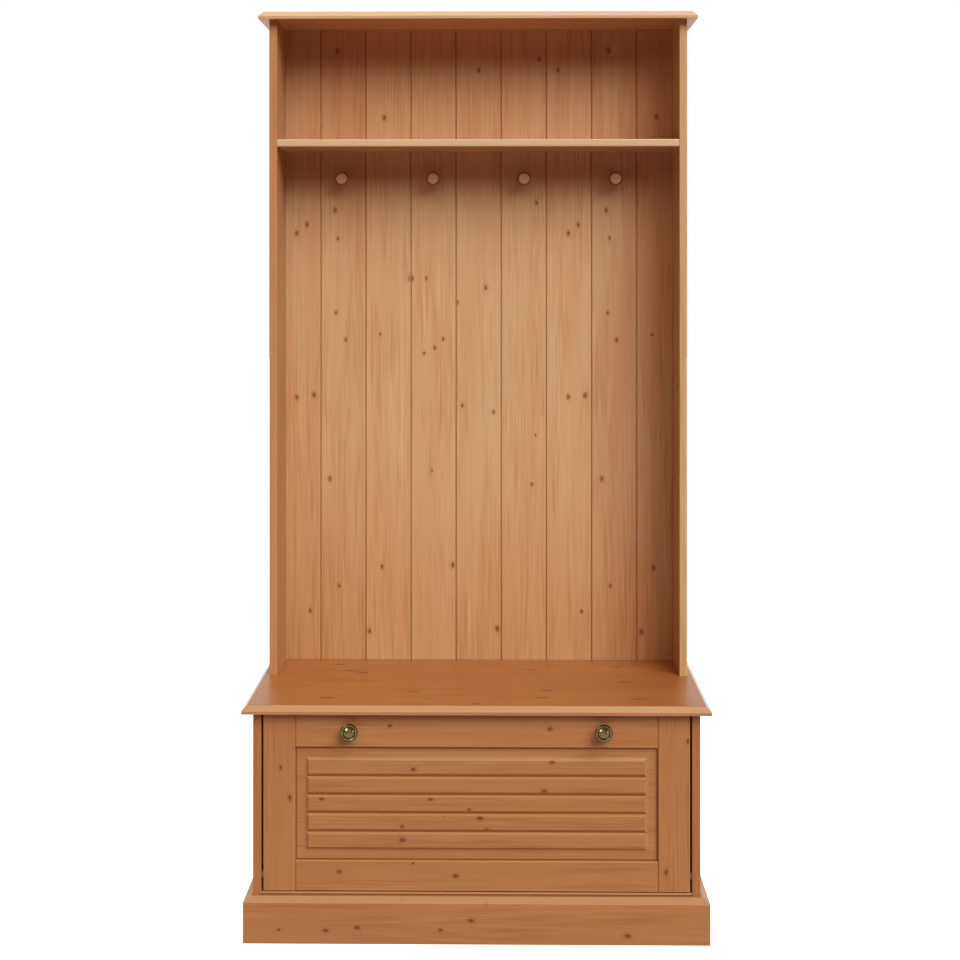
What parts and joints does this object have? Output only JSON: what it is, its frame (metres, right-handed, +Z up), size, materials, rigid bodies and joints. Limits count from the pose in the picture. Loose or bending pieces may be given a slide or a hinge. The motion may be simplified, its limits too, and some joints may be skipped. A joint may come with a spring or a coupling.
{
  "type": "hall stand",
  "caption": "Pine hall stand: a bench over a tilting shoe flap, a boarded back with coat pegs, a hat shelf and a bevelled crown board.",
  "frame": {"origin": "on the floor, under the middle of the overall box", "axes": "+Z up, +X to the right as seen from the front, -Y out of the front, +Y to the wall"},
  "size_m": [0.9, 0.407, 1.82],
  "materials": {
    "pine": "satin lacquered pine",
    "beech": "raw turned beech",
    "plywood": "sealed plywood",
    "antique_brass": "antique patina",
    "steel": "zinc plated",
    "nylon": "brown moulded",
    "ferrite": "sintered magnet"
  },
  "bodies": {
    "stand": {"back_board_1": "pine", "back_board_2": "pine", "back_board_3": "pine", "back_board_4": "pine", "back_board_5": "pine", "back_board_6": "pine", "back_board_7": "pine", "back_board_8": "pine", "back_board_9": "pine", "back_rail_bottom": "pine", "back_rail_peg": "pine", "back_rail_top": "pine", "base_back": "plywood", "base_side_left": "pine", "base_side_right": "pine", "bench_dowels": "beech", "bench_top": "pine", "bottom_board": "pine", "bottom_dowels": "beech", "catch_case": "nylon", "catch_magnet": "ferrite", "coat_peg_1": "pine", "coat_peg_2": "pine", "coat_peg_3": "pine", "coat_peg_4": "pine", "coat_peg_screws": "steel", "crown_board": "pine", "crown_dowels": "beech", "flap_stops": "pine", "hat_shelf": "pine", "pivot_bushes": "nylon", "plinth_front": "pine", "plinth_left": "pine", "plinth_rear_rail": "pine", "plinth_right": "pine", "shelf_dowels": "beech", "upper_side_left": "pine", "upper_side_right": "pine", "upright_dowels": "beech"},
    "flap": {"flap_stile_left": "pine", "flap_stile_right": "pine", "flap_rail_top": "pine", "flap_rail_bottom": "pine", "flap_panel": "pine", "flap_knob_left": "antique_brass", "flap_knob_right": "antique_brass", "flap_knob_screws": "steel", "pivot_pins": "steel", "shoe_cheek_left": "pine", "shoe_cheek_right": "pine", "shoe_tray_lower": "pine", "shoe_tray_upper": "pine", "tray_lip_lower": "pine", "tray_lip_upper": "pine", "cheek_dowels": "beech", "tray_dowels": "beech", "strike_plate": "steel"}
  },
  "joints": [
    {"name": "flap_tip", "type": "hinge", "parent": "stand", "child": "flap", "pos_m": [0, -0.1665, 0.1238], "axis": [1, 0, 0], "range_deg": [0, 40]}
  ]
}
